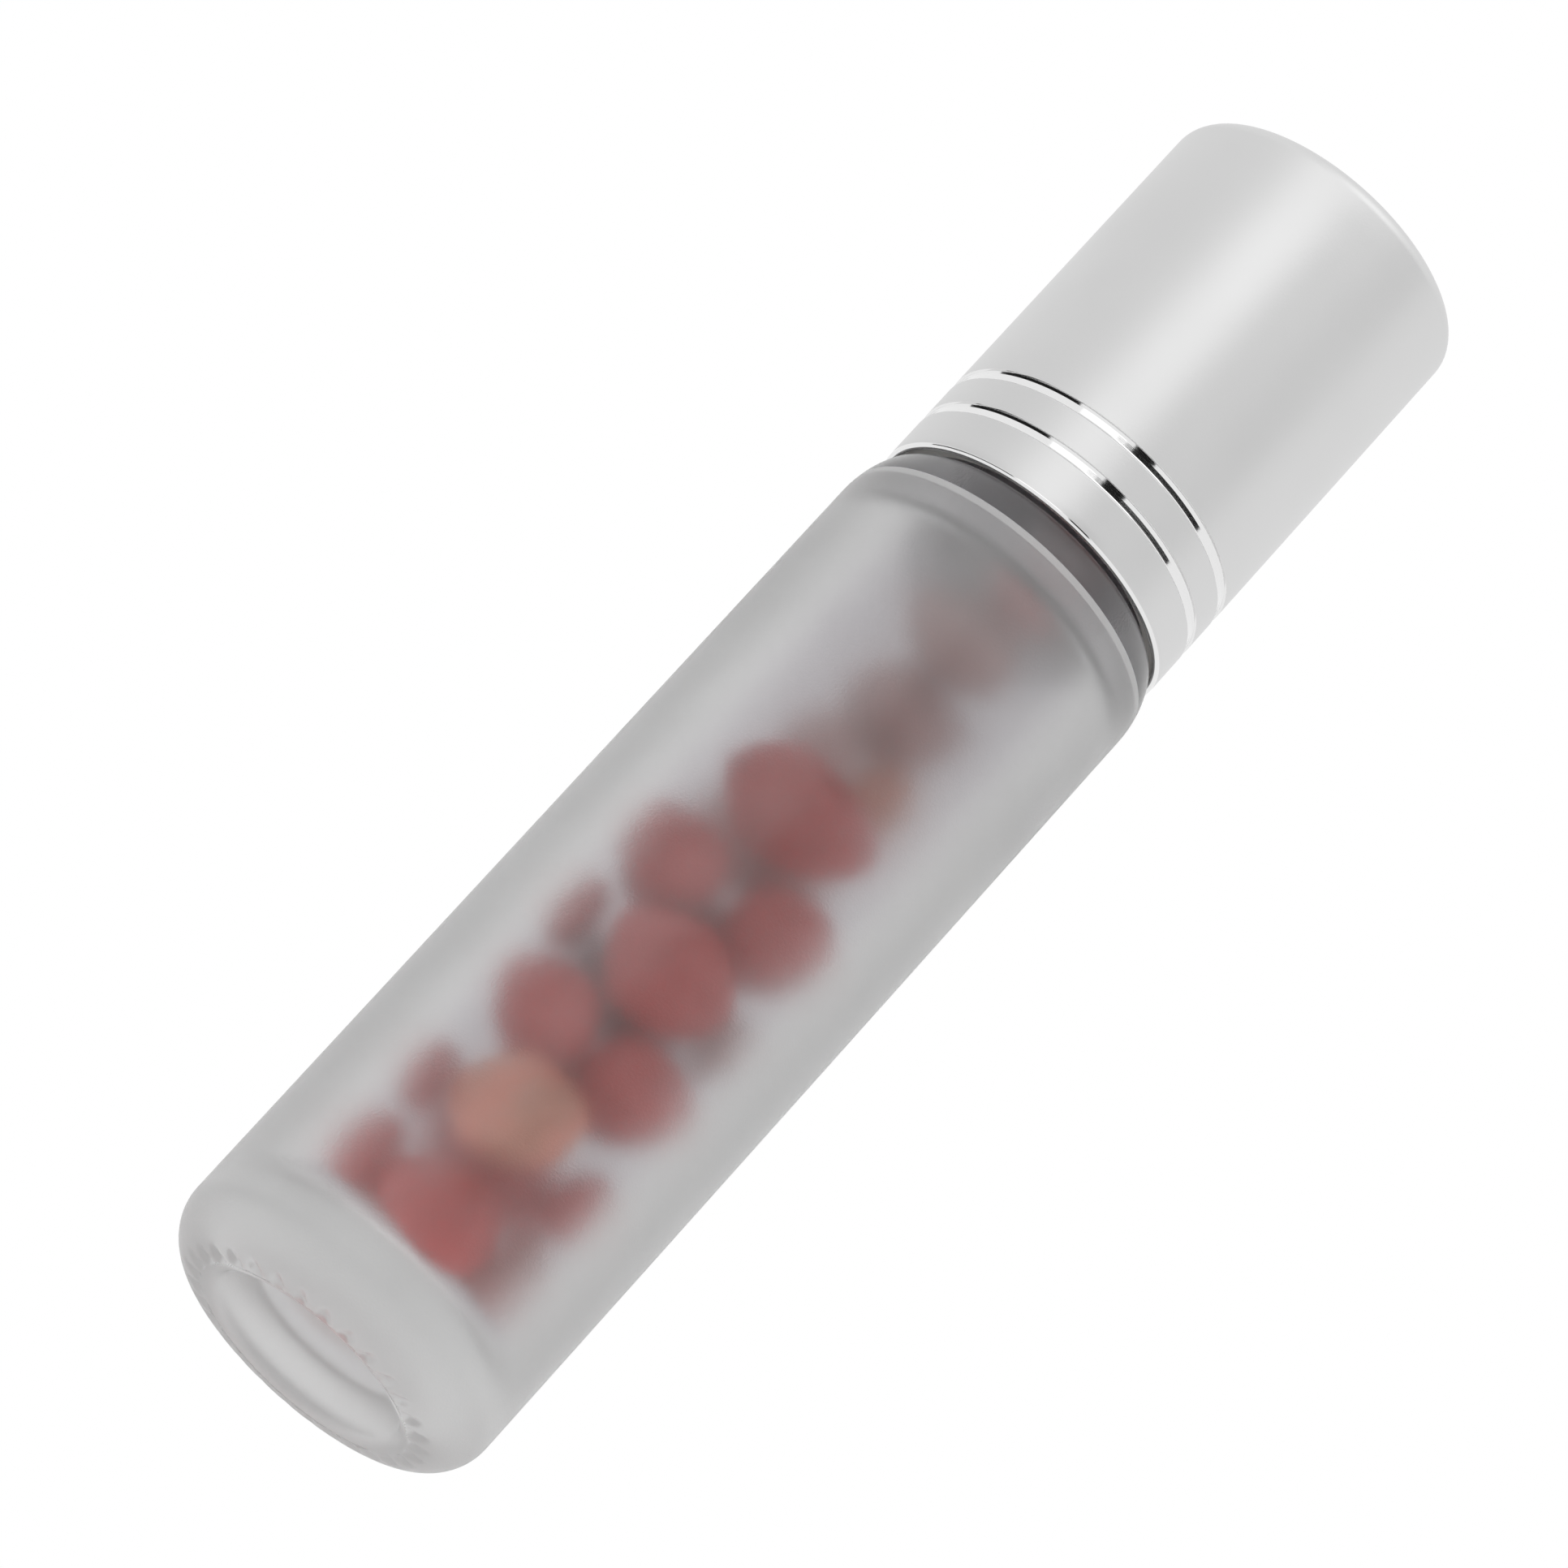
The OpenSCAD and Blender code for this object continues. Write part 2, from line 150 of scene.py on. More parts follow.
class CapSettings(bpy.types.PropertyGroup):
    """Sizes and colours of the cap"""

    shell_radius: length("Cap radius", "Outer radius of the aluminium shell", 9.45)
    shell_wall: length("Shell wall", "Thickness of the aluminium", 0.45)
    lower_edge: length("Lower edge", "Height of the cap's lower edge", 59.571)
    top: length("Top", "Height of the cap's top", 86.464)
    edge_radius: length("Top edge", "Radius of the cap's top edge", 1.05)
    ring_width: length("Ring width", "Width of a cut ring", 0.75)
    ring_depth: length("Ring depth", "Depth of a cut ring", 0.15)
    low_ring: length("Lower ring", "Height of the lower ring above the lower edge", 3.1)
    ring_step: length("Ring step", "Distance between the two rings", 2.65)
    anodised: colour("Anodised aluminium", "Colour of the satin anodised shell", "#D7D7D7")
    bright_cut: colour("Bright cut", "Colour of the turned rings and rim", "#E6E6E6")


class FittingSettings(bpy.types.PropertyGroup):
    """Colours of the roller, its housing, the liner and the wad"""

    housing: colour("Housing", "Colour of the moulded housing", "#ECECE8")
    ball: colour("Ball", "Colour of the steel ball", "#C9CBCD")
    liner: colour("Liner", "Colour of the moulded liner", "#E2E2DE")
    wad: colour("Wad", "Colour of the foam wad", "#F2F0EA")


class StoneSettings(bpy.types.PropertyGroup):
    """Colours and wear of the tumbled chips"""

    red: colour("Red stone", "Colour of the red chips", "#DE4F48")
    brown: colour("Brown stone", "Colour of the brown chips", "#D8A8A2")
    salmon: colour("Salmon stone", "Colour of the pale pink chip", "#FFA082")
    orange: colour("Orange stone", "Colour of the orange chip", "#EC8C68")
    dark: colour("Dark stone", "Colour of the dark chips", "#7A4448")
    roundness: number("Roundness", "How far tumbling has worn a chip towards an egg", 0.36)
    fill: number("Fill", "Share of its box that a worn chip fills", 0.968)


class StudioSettings(bpy.types.PropertyGroup):
    """Floor, lights and camera"""

    floor: colour("Floor", "Colour of the pale floor", "#E8E8E8")
    surround: number("Surround", "Brightness of the surroundings for diffuse light", 0.85)
    behind: number("Behind", "Brightness that glass shows of the studio behind the bottle", 0.69)
    key_power: number("Key", "Power of the lamp to the left", 0.13)
    side_power: number("Side", "Power of the lamp above, a little to the right", 0.2)
    lamp_size: length("Lamp size", "Width of a lamp", 300)
    lamp_distance: length("Lamp distance", "Distance from a lamp to the bottle", 500)
    lamp_aim: length("Lamp aim", "Height on the bottle that the lamps face", 45)
    flag_height: length("Flag height", "Height on the cap that the flags stand round", 66)
    aim_across: length("Aim across", "Place across the bottle that the camera looks at", -1.7156)
    aim_height: length("Aim height", "Height that the camera looks at", 41.509)
    distance: length("Camera distance", "Distance from the camera to the point it looks at", 474.58)
    elevation: number("Camera elevation", "Degrees above the level, or below 0 under it", -22.505, low=-90)
    roll: number("Camera roll", "Turn of the camera in degrees, anticlockwise", 42.3986)
    lens: number("Lens", "Focal length in millimetres", 205.69, low=1)


def add_node(tree, kind, inputs=None, **settings):
    """Adds a node, sets what it is told, and fills its inputs with values or with other nodes' outputs."""
    node = tree.nodes.new(kind)
    for name, value in settings.items():
        setattr(node, name, value)
    for socket, value in (inputs or {}).items():
        if isinstance(value, bpy.types.NodeSocket):
            tree.links.new(value, node.inputs[socket])
        else:
            node.inputs[socket].default_value = value
    return node


def new_material(name):
    """An empty node material, with its tree."""
    material = bpy.data.materials.new(name)
    material.use_nodes = True
    material.node_tree.nodes.clear()
    return material, material.node_tree


def mask_height(glass):
    """The height of the lower edge of the mask that keeps the acid off the neck."""
    return glass.straight_top + glass.mask_edge


def close_glass(tree, shader, glass):
    """Sends a glass shader to the surface, and the glass's own absorption to the volume."""
    body = add_node(tree, "ShaderNodeVolumeAbsorption",
                    {"Color": with_alpha(glass.absorbed), "Density": glass.absorption})
    add_node(tree, "ShaderNodeOutputMaterial", {"Surface": shader.outputs[0], "Volume": body.outputs[0]})


def etched_glass(name, tint, glass, roughness, haze=0.0):
    """Soda-lime glass, blown in a mould and then etched in acid: a fine matt grain that blurs what is inside.

    The haze makes the etch milky towards the shoulder, as painted light that whitens the top of the wall, and
    also over the lowest 2 mm of the foot.
    """
    material, tree = new_material(name)
    place = add_node(tree, "ShaderNodeTexCoord").outputs["Object"]
    # The etched grain is about 0.05 mm and is drawn at 0.14 mm so that it shows.
    grain = add_node(tree, "ShaderNodeTexNoise", {"Vector": place, "Scale": 7000.0, "Detail": 2.0})
    bump = add_node(tree, "ShaderNodeBump",
                    {"Height": grain.outputs["Fac"], "Strength": 0.35, "Distance": 0.03 * MM})
    # The acid bites a little more in patches of 5 to 6 mm.
    patches = add_node(tree, "ShaderNodeTexNoise", {"Vector": place, "Scale": 180.0, "Detail": 3.0})
    rough = add_node(tree, "ShaderNodeMapRange", {
        "Value": patches.outputs["Fac"], "From Min": 0.3, "From Max": 0.7,
        "To Min": roughness - 0.02, "To Max": roughness + 0.02,
    })
    clear = 1.0
    if haze:
        # The haze grows over the last 10 mm below the mask, as painted light that whitens the top of the
        # wall, and fades over the lowest 2 mm of the foot.
        height = add_node(tree, "ShaderNodeSeparateXYZ", {"Vector": place}).outputs["Z"]
        shoulder = add_node(tree, "ShaderNodeMapRange", {
            "Value": height, "From Min": 47 * MM, "From Max": mask_height(glass),
            "To Min": 1.0, "To Max": 1 - haze,
        })
        foot = add_node(tree, "ShaderNodeMapRange", {
            "Value": height, "From Min": 0.4 * MM, "From Max": 2.4 * MM, "To Min": 1 - haze, "To Max": 1.0,
        })
        clear = add_node(tree, "ShaderNodeMath", {0: shoulder.outputs["Result"], 1: foot.outputs["Result"]},
                         operation="MULTIPLY").outputs[0]
    shader = add_node(tree, "ShaderNodeBsdfPrincipled", {
        "Base Color": with_alpha(tint), "Roughness": rough.outputs["Result"], "IOR": 1.52,
        "Transmission Weight": clear, "Normal": bump.outputs["Normal"],
    })
    close_glass(tree, shader, glass)
    return material


def drawn_glass(name, tint, glass, roughness, haze=0.0):
    """The inside of blown glass: fire-smooth and slowly wavy, and milky by the haze where it is given, as
    painted light at the top of the bore.
    """
    material, tree = new_material(name)
    place = add_node(tree, "ShaderNodeTexCoord").outputs["Object"]
    # The waves are about 4 mm long.
    wave = add_node(tree, "ShaderNodeTexNoise", {"Vector": place, "Scale": 260.0, "Detail": 1.0})
    bump = add_node(tree, "ShaderNodeBump",
                    {"Height": wave.outputs["Fac"], "Strength": 0.3, "Distance": 0.2 * MM})
    shader = add_node(tree, "ShaderNodeBsdfPrincipled", {
        "Base Color": with_alpha(tint), "Roughness": roughness, "IOR": 1.52, "Transmission Weight": 1 - haze,
        "Normal": bump.outputs["Normal"],
    })
    close_glass(tree, shader, glass)
    return material


def anodised_aluminium(tint):
    """Drawn aluminium, blasted and anodised: a fine matt metal with a soft broad highlight."""
    material, tree = new_material("anodised_aluminium")
    place = add_node(tree, "ShaderNodeTexCoord").outputs["Object"]
    # The blasted grain is about 0.05 mm and is drawn at 0.12 mm so that it shows.
    grain = add_node(tree, "ShaderNodeTexNoise", {"Vector": place, "Scale": 8000.0, "Detail": 2.0})
    bump = add_node(tree, "ShaderNodeBump",
                    {"Height": grain.outputs["Fac"], "Strength": 0.12, "Distance": 0.02 * MM})
    # Handling leaves it slightly more or less matt in patches of 6 to 7 mm.
    patches = add_node(tree, "ShaderNodeTexNoise", {"Vector": place, "Scale": 150.0, "Detail": 2.0})
    rough = add_node(tree, "ShaderNodeMapRange", {
        "Value": patches.outputs["Fac"], "From Min": 0.3, "From Max": 0.7, "To Min": 0.42, "To Max": 0.46,
    })
    shader = add_node(tree, "ShaderNodeBsdfPrincipled", {
        "Base Color": with_alpha(tint), "Metallic": 1.0, "Roughness": rough.outputs["Result"],
        "Normal": bump.outputs["Normal"],
    })
    add_node(tree, "ShaderNodeOutputMaterial", {"Surface": shader.outputs[0]})
    return material


def bright_cut_aluminium(tint):
    """Aluminium cut with a diamond tool after anodising: a bare mirror with fine turning lines."""
    material, tree = new_material("bright_cut_aluminium")
    place = add_node(tree, "ShaderNodeTexCoord").outputs["Object"]
    height = add_node(tree, "ShaderNodeSeparateXYZ", {"Vector": place}).outputs["Z"]
    # The turning lines are about 0.02 mm apart and run round the cap.
    lines = add_node(tree, "ShaderNodeTexNoise", {"W": height, "Scale": 50000.0, "Detail": 1.0},
                     noise_dimensions="1D")
    bump = add_node(tree, "ShaderNodeBump",
                    {"Height": lines.outputs["Fac"], "Strength": 0.05, "Distance": 0.01 * MM})
    shader = add_node(tree, "ShaderNodeBsdfPrincipled", {
        "Base Color": with_alpha(tint), "Metallic": 1.0, "Roughness": 0.08, "Normal": bump.outputs["Normal"],
    })
    add_node(tree, "ShaderNodeOutputMaterial", {"Surface": shader.outputs[0]})
    return material


def moulded_polypropylene(name, tint):
    """Natural polypropylene from a polished mould: milky, slightly waxy, with a soft gloss."""
    material, tree = new_material(name)
    place = add_node(tree, "ShaderNodeTexCoord").outputs["Object"]
    # The gloss follows the flow of the melt, in patches of about 3 mm.
    patches = add_node(tree, "ShaderNodeTexNoise", {"Vector": place, "Scale": 300.0, "Detail": 3.0})
    rough = add_node(tree, "ShaderNodeMapRange", {
        "Value": patches.outputs["Fac"], "From Min": 0.3, "From Max": 0.7, "To Min": 0.3, "To Max": 0.4,
    })
    shader = add_node(tree, "ShaderNodeBsdfPrincipled", {
        "Base Color": with_alpha(tint), "Roughness": rough.outputs["Result"], "IOR": 1.49,
        "Subsurface Weight": 0.2, "Subsurface Radius": (MM, MM, MM), "Subsurface Scale": 1.0,
    })
    add_node(tree, "ShaderNodeOutputMaterial", {"Surface": shader.outputs[0]})
    return material


def polished_steel(tint):
    """A ground and polished stainless steel ball, with the faint marks of rolling."""
    material, tree = new_material("polished_steel")
    place = add_node(tree, "ShaderNodeTexCoord").outputs["Object"]
    # The marks are about 1 mm long.
    marks = add_node(tree, "ShaderNodeTexNoise",
                     {"Vector": place, "Scale": 900.0, "Detail": 6.0, "Distortion": 2.0})
    rough = add_node(tree, "ShaderNodeMapRange", {
        "Value": marks.outputs["Fac"], "From Min": 0.4, "From Max": 0.7, "To Min": 0.05, "To Max": 0.12,
    })
    shader = add_node(tree, "ShaderNodeBsdfPrincipled", {
        "Base Color": with_alpha(tint), "Metallic": 1.0, "Roughness": rough.outputs["Result"],
    })
    add_node(tree, "ShaderNodeOutputMaterial", {"Surface": shader.outputs[0]})
    return material


def polyethylene_foam(tint):
    """A punched wad of white foam, with fine closed cells."""
    material, tree = new_material("polyethylene_foam")
    place = add_node(tree, "ShaderNodeTexCoord").outputs["Object"]
    # The cells are about 0.2 mm across.
    cells = add_node(tree, "ShaderNodeTexVoronoi", {"Vector": place, "Scale": 5000.0})
    bump = add_node(tree, "ShaderNodeBump",
                    {"Height": cells.outputs["Distance"], "Strength": 0.4, "Distance": 0.05 * MM})
    shader = add_node(tree, "ShaderNodeBsdfPrincipled", {
        "Base Color": with_alpha(tint), "Roughness": 0.85, "Normal": bump.outputs["Normal"],
    })
    add_node(tree, "ShaderNodeOutputMaterial", {"Surface": shader.outputs[0]})
    return material


def tumbled_agate(name, tint):
    """Carnelian and agate tumbled to a soft polish: cloudy bands of one colour, with pale and dark veins."""
    material, tree = new_material(name)
    place = add_node(tree, "ShaderNodeTexCoord").outputs["Object"]
    # The clouds are about 3 mm across and the bands about 4 mm apart.
    cloud = add_node(tree, "ShaderNodeTexNoise",
                     {"Vector": place, "Scale": 320.0, "Detail": 5.0, "Distortion": 0.6})
    band = add_node(tree, "ShaderNodeTexWave",
                    {"Vector": place, "Scale": 90.0, "Distortion": 9.0, "Detail": 3.0, "Detail Scale": 1.5})
    light = [min(1, channel * 1.35 + 0.03) for channel in tint]
    dark = [channel * 0.62 for channel in tint]
    clouded = add_node(tree, "ShaderNodeMix",
                       {"Factor": cloud.outputs["Fac"], "A": with_alpha(dark), "B": with_alpha(light)},
                       data_type="RGBA")
    veined = add_node(tree, "ShaderNodeMix",
                      {"Factor": band.outputs["Fac"], "A": clouded.outputs["Result"], "B": with_alpha(tint)},
                      data_type="RGBA")
    shader = add_node(tree, "ShaderNodeBsdfPrincipled", {
        "Base Color": veined.outputs["Result"], "Roughness": 0.22, "IOR": 1.54,
    })
    add_node(tree, "ShaderNodeOutputMaterial", {"Surface": shader.outputs[0]})
    return material


def draw_profile(bm, start, moves):
    """Draws a profile in the XZ plane, in metres, as lines and arcs that follow each other.

    A line is ("line", x, z, steps). An arc is ("arc", centre x, centre z, degrees, steps), and its degrees
    are positive where it turns from +X towards +Z.
    """
    tip = bm.verts.new((start[0], 0, start[1]))
    for kind, x, z, *degrees, steps in moves:
        if kind == "line":
            step = (Vector((x, 0, z)) - tip.co) / steps
            for _ in range(steps):
                tip = bmesh.ops.extrude_vert_indiv(bm, verts=[tip])["verts"][0]
                tip.co += step
        else:
            made = bmesh.ops.spin(
                bm, geom=[tip], cent=(x, 0, z), axis=(0, -1, 0), angle=math.radians(degrees[0]), steps=steps,
            )
            tip = [v for v in made["geom_last"] if isinstance(v, bmesh.types.BMVert)][0]


def spin_profile(bm, segments):
    """Turns the drawn profile a full turn round the Z axis and closes its seam and poles."""
    bmesh.ops.spin(
        bm, geom=bm.verts[:] + bm.edges[:], cent=(0, 0, 0), axis=(0, 0, 1), angle=math.tau, steps=segments,
        use_merge=True,
    )
    bmesh.ops.remove_doubles(bm, verts=bm.verts[:], dist=0.0001 * MM)
    bmesh.ops.recalc_face_normals(bm, faces=bm.faces[:])


def new_mesh(name, bm, materials):
    """Makes a mesh with its materials, and lets go of the bmesh that it comes from."""
    mesh = bpy.data.meshes.new(name)
    bm.to_mesh(mesh)
    bm.free()
    for material in materials:
        mesh.materials.append(material)
    return mesh


def new_object(name, data):
    """Puts a mesh, a lamp or a camera in the scene as an object."""
    made = bpy.data.objects.new(name, data)
    bpy.context.scene.collection.objects.link(made)
    return made


def finish_piece(bm, name, materials, body, replaced, sharp_angle):
    """Makes a smooth object that keeps its edges over the sharp angle, attaches it to its body and hides the
    CAD nodes it replaces.
    """
    mesh = new_mesh(name, bm, materials)
    mesh.shade_smooth()
    mesh.set_sharp_from_angle(angle=math.radians(sharp_angle))
    piece = new_object(name, mesh)
    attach(piece, body)
    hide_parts(*replaced)


def dress_node(name, material):
    """Gives a CAD node's own mesh a better material."""
    for place in frame["nodes"][name].material_slots:
        place.material = material


def notch_start(glass):
    """The radius on the foot at which the grip notches start."""
    return glass.body_radius - glass.heel_radius - 0.1 * MM


def draw_glass(bm, glass, thread):
    """Draws the glass from the middle of the recess out, up the outside, over the mouth and down inside."""
    # The recess's edge rolls into the foot through two arcs that meet at the same slope.
    lean = 62
    recess_round = glass.punt_depth * 1.4
    foot_round = glass.punt_depth / (1 - math.cos(math.radians(lean))) - recess_round
    recess_x = glass.punt_radius - recess_round
    foot_x = recess_x + (recess_round + foot_round) * math.sin(math.radians(lean))
    heel_x = glass.body_radius - glass.heel_radius
    # The shoulder's large round runs on into the small one at the same slope.
    turn = glass.shoulder_turn
    shoulder_x = glass.body_radius - glass.shoulder_radius
    reach = glass.shoulder_radius - glass.shoulder_edge
    edge_x = shoulder_x + reach * math.cos(math.radians(turn))
    edge_z = glass.straight_top + reach * math.sin(math.radians(turn))
    neck_corner = 0.25 * MM
    bead = 0.65 * MM
    bead_z = glass.shoulder_top + 2.4 * MM
    lip = 0.5 * MM
    hollow_top = glass.shoulder_top - glass.shoulder_wall
    hollow_round = glass.cavity_radius - glass.bore_radius
    hollow_edge = 1.5 * MM
    draw_profile(bm, (0, glass.punt_depth), [
        ("line", recess_x, glass.punt_depth, 10),
        ("arc", recess_x, glass.punt_depth - recess_round, -lean, 14),
        ("arc", foot_x, foot_round, lean, 8),
        ("line", notch_start(glass), 0, 1),
        ("line", notch_start(glass) + NOTCH_STEP, 0, 1),
        ("line", heel_x, 0, 1),
        ("arc", heel_x, glass.heel_radius, 90, 30),
        ("line", glass.body_radius, glass.straight_top, 60),
        ("arc", shoulder_x, glass.straight_top, turn, 12),
        ("arc", edge_x, edge_z, 90 - turn, 12),
        ("line", glass.neck_radius + neck_corner, glass.shoulder_top, 3),
        ("arc", glass.neck_radius + neck_corner, glass.shoulder_top + neck_corner, -90, 5),
        ("line", glass.neck_radius, bead_z - bead, 3),
        ("arc", glass.neck_radius, bead_z, 180, 14),
        ("line", glass.neck_radius, thread.band_low, 10),
        ("line", glass.neck_radius, thread.band_high, 60),
        ("line", glass.neck_radius, glass.mouth_height - lip, 1),
        ("arc", glass.neck_radius - lip, glass.mouth_height - lip, 90, 8),
        ("line", glass.bore_radius, glass.mouth_height, 3),
        ("line", glass.bore_radius, hollow_top, 20),
        ("line", glass.bore_radius + 0.001 * MM, hollow_top, 1),
        ("arc", glass.bore_radius, hollow_top - hollow_round, -90, 10),
        ("line", glass.cavity_radius, glass.floor_height + hollow_edge, 60),
        ("arc", glass.cavity_radius - hollow_edge, glass.floor_height + hollow_edge, -90, 16),
        ("line", 0, glass.floor_height, 6),
    ])


def press_notches(bm, glass):
    """Presses the grip notches up into the foot, each from nothing at its inner end to its full depth."""
    start = notch_start(glass)
    run_in = 0.3 * MM
    pitch = math.tau / glass.notch_count
    for vert in bm.verts:
        radius = math.hypot(vert.co.x, vert.co.y)
        if vert.co.z < glass.notch_depth and start + NOTCH_STEP / 2 < radius < glass.body_radius:
            angle = math.atan2(vert.co.y, vert.co.x)
            side = radius * math.sin(angle - pitch * round(angle / pitch))
            if abs(side) < glass.notch_radius:
                arch = math.sqrt(glass.notch_radius ** 2 - side ** 2) - glass.notch_radius
                roof = (glass.notch_depth + arch) * min(1, (radius - start) / run_in)
                vert.co.z = max(vert.co.z, roof)


def thread_height(thread, x, y, z):
    """How far the thread's ridge stands out of its wall at a point, in metres."""
    start_degrees = 5
    run_in = 50 / 360
    least = 0.15
    angle = (math.degrees(math.atan2(y, x)) - start_degrees) % 360
    height = 0.0
    for whole in (0, 1):
        turn = angle / 360 + whole
        if turn > thread.turns:
            continue
        taper = max(least, min(1.0, turn / run_in, (thread.turns - turn) / run_in))
        away = abs(z - thread.start - thread.pitch * turn)
        flank = (thread.root / 2 - away) / (thread.root / 2 - thread.crest / 2)
        height = max(height, thread.depth * taper * min(1.0, max(0.0, flank)))
    return height


def raise_thread(bm, neck_radius, thread):
    """Raises the thread out of the finely meshed band of the neck."""
    for vert in bm.verts:
        radius = math.hypot(vert.co.x, vert.co.y)
        in_band = thread.band_low - HAIR < vert.co.z < thread.band_high + HAIR
        if in_band and abs(radius - neck_radius) < HAIR:
            height = thread_height(thread, *vert.co)
            vert.co.x *= (radius + height) / radius
            vert.co.y *= (radius + height) / radius


def finish_at(glass, place):
    """Which finish the glass has at a place.

    The shoulder above the mask's edge is lightly etched and tinted grey as painted shade, and just below the
    edge the glass is milkier in a line, a painted highlight.
    """
    radius = math.hypot(place.x, place.y)
    hollow_top = glass.shoulder_top - glass.shoulder_wall
    in_hollow = place.z > glass.floor_height - HAIR and radius < glass.cavity_radius + HAIR
    outside_bore = place.z > hollow_top and radius > glass.bore_radius + 0.05 * MM
    if in_hollow and not outside_bore:
        return "bore_painted_light" if place.z > hollow_top + 0.2 * MM else "smooth"
    if place.z > glass.shoulder_top + 0.1 * MM:
        return "neck"
    if place.z > mask_height(glass):
        return "half_etched"
    return "painted_highlight_line" if place.z > mask_height(glass) - glass.highlight_line_width else "etched"


class ROLLON_OT_glass(bpy.types.Operator):
    """Makes the thick-walled glass body with its etched outside and smooth hollow"""

    bl_idname = "rollon.glass"
    bl_label = "Glass Body"

    def execute(self, context):
        glass = context.scene.rollon_glass
        thread = context.scene.rollon_thread
        faces_per_notch = 8
        bm = bmesh.new()
        draw_glass(bm, glass, thread)
        spin_profile(bm, glass.notch_count * faces_per_notch)
        press_notches(bm, glass)
        raise_thread(bm, glass.neck_radius, thread)
        finishes = {
            # Towards the shoulder the haze whitens the etch as painted light.
            "etched": etched_glass("etched_glass", glass.etched_tint, glass, roughness=0.38, haze=0.15),
            "smooth": drawn_glass("smooth_glass", glass.clear_tint, glass, roughness=0.1),
            # The shoulder's grey tint is painted shade under the cap.
            "half_etched": etched_glass("half_etched_shaded_glass", glass.shoulder_painted_shade, glass, roughness=0.24),
            # The haze at the top of the bore is painted light in place of the light from the cap.
            "bore_painted_light": drawn_glass(
                "bore_painted_light_glass", glass.clear_tint, glass, roughness=0.4, haze=0.35,
            ),
            # The milky line below the mask's edge is a painted highlight.
            "painted_highlight_line": etched_glass("painted_highlight_line_glass", glass.etched_tint, glass, roughness=0.45, haze=0.36),
            "neck": etched_glass("neck_glass", glass.neck_tint, glass, roughness=0.14),
        }
        order = list(finishes)
        for face in bm.faces:
            face.material_index = order.index(finish_at(glass, face.calc_center_median()))
        glasses = finishes.values()
        finish_piece(bm, "glass_body", glasses, "bottle", ["bottle"], sharp_angle=50)
        return {"FINISHED"}


def box_of(bm):
    """The middle and the size of the box round a mesh."""
    spans = [(min(v.co[i] for v in bm.verts), max(v.co[i] for v in bm.verts)) for i in range(3)]
    return Vector([(low + high) / 2 for low, high in spans]), Vector([high - low for low, high in spans])


def round_chip(bm, middle, size, stones, hollow_radius):
    """Fills a chip's first box again after smoothing, rounds it towards an egg and keeps it in the hollow."""
    worn_middle, worn_size = box_of(bm)
    for vert in bm.verts:
        point = Vector([2 * (vert.co[i] - worn_middle[i]) / worn_size[i] for i in range(3)])
        point = point.lerp(point.normalized(), stones.roundness)
        vert.co = Vector([middle[i] + point[i] * size[i] / 2 * stones.fill for i in range(3)])
        radius = math.hypot(vert.co.x, vert.co.y)
        if radius > hollow_radius:
            vert.co.x *= hollow_radius / radius
            vert.co.y *= hollow_radius / radius


class ROLLON_OT_stones(bpy.types.Operator):
    """Rounds and colours the tumbled chips in the hollow"""

    bl_idname = "rollon.stones"
    bl_label = "Stone Chips"

    def execute(self, context):
        stones = context.scene.rollon_stones
        clearance = 0.05 * MM
        hollow_radius = context.scene.rollon_glass.cavity_radius - clearance
        agates = {
            f"agate_{tone}": tumbled_agate(f"{tone}_agate", getattr(stones, tone))
            for tone in ("red", "brown", "salmon", "orange", "dark")
        }
        for part in frame["record"]["subparts"]:
            name, slot = part["node"], part["material_slot"]
            if not name.startswith("stone_"):
                continue
            bm = bmesh.new()
            bm.from_mesh(frame["nodes"][name].data)
            bmesh.ops.remove_doubles(bm, verts=bm.verts[:], dist=0.002 * MM)
            middle, size = box_of(bm)
            # The faces are split twice, and each time smoothing wears the corners down.
            for passes in (14, 6):
                bmesh.ops.subdivide_edges(bm, edges=bm.edges[:], cuts=1, use_grid_fill=True, smooth=0)
                for _ in range(passes):
                    bmesh.ops.smooth_vert(
                        bm, verts=bm.verts[:], factor=0.5, use_axis_x=True, use_axis_y=True, use_axis_z=True,
                    )
            round_chip(bm, middle, size, stones, hollow_radius)
            chip = name.replace("stone", "chip")
            finish_piece(bm, chip, [agates[slot]], "bottle", [name], sharp_angle=180)
        return {"FINISHED"}


class ROLLON_OT_roller(bpy.types.Operator):
    """Dresses the roller's housing and its steel ball"""

    bl_idname = "rollon.roller"
    bl_label = "Roller"

    def execute(self, context):
        fitting = context.scene.rollon_fitting
        dress_node("roller_housing", moulded_polypropylene("housing_polypropylene", fitting.housing))
        dress_node("roller_ball", polished_steel(fitting.ball))
        return {"FINISHED"}


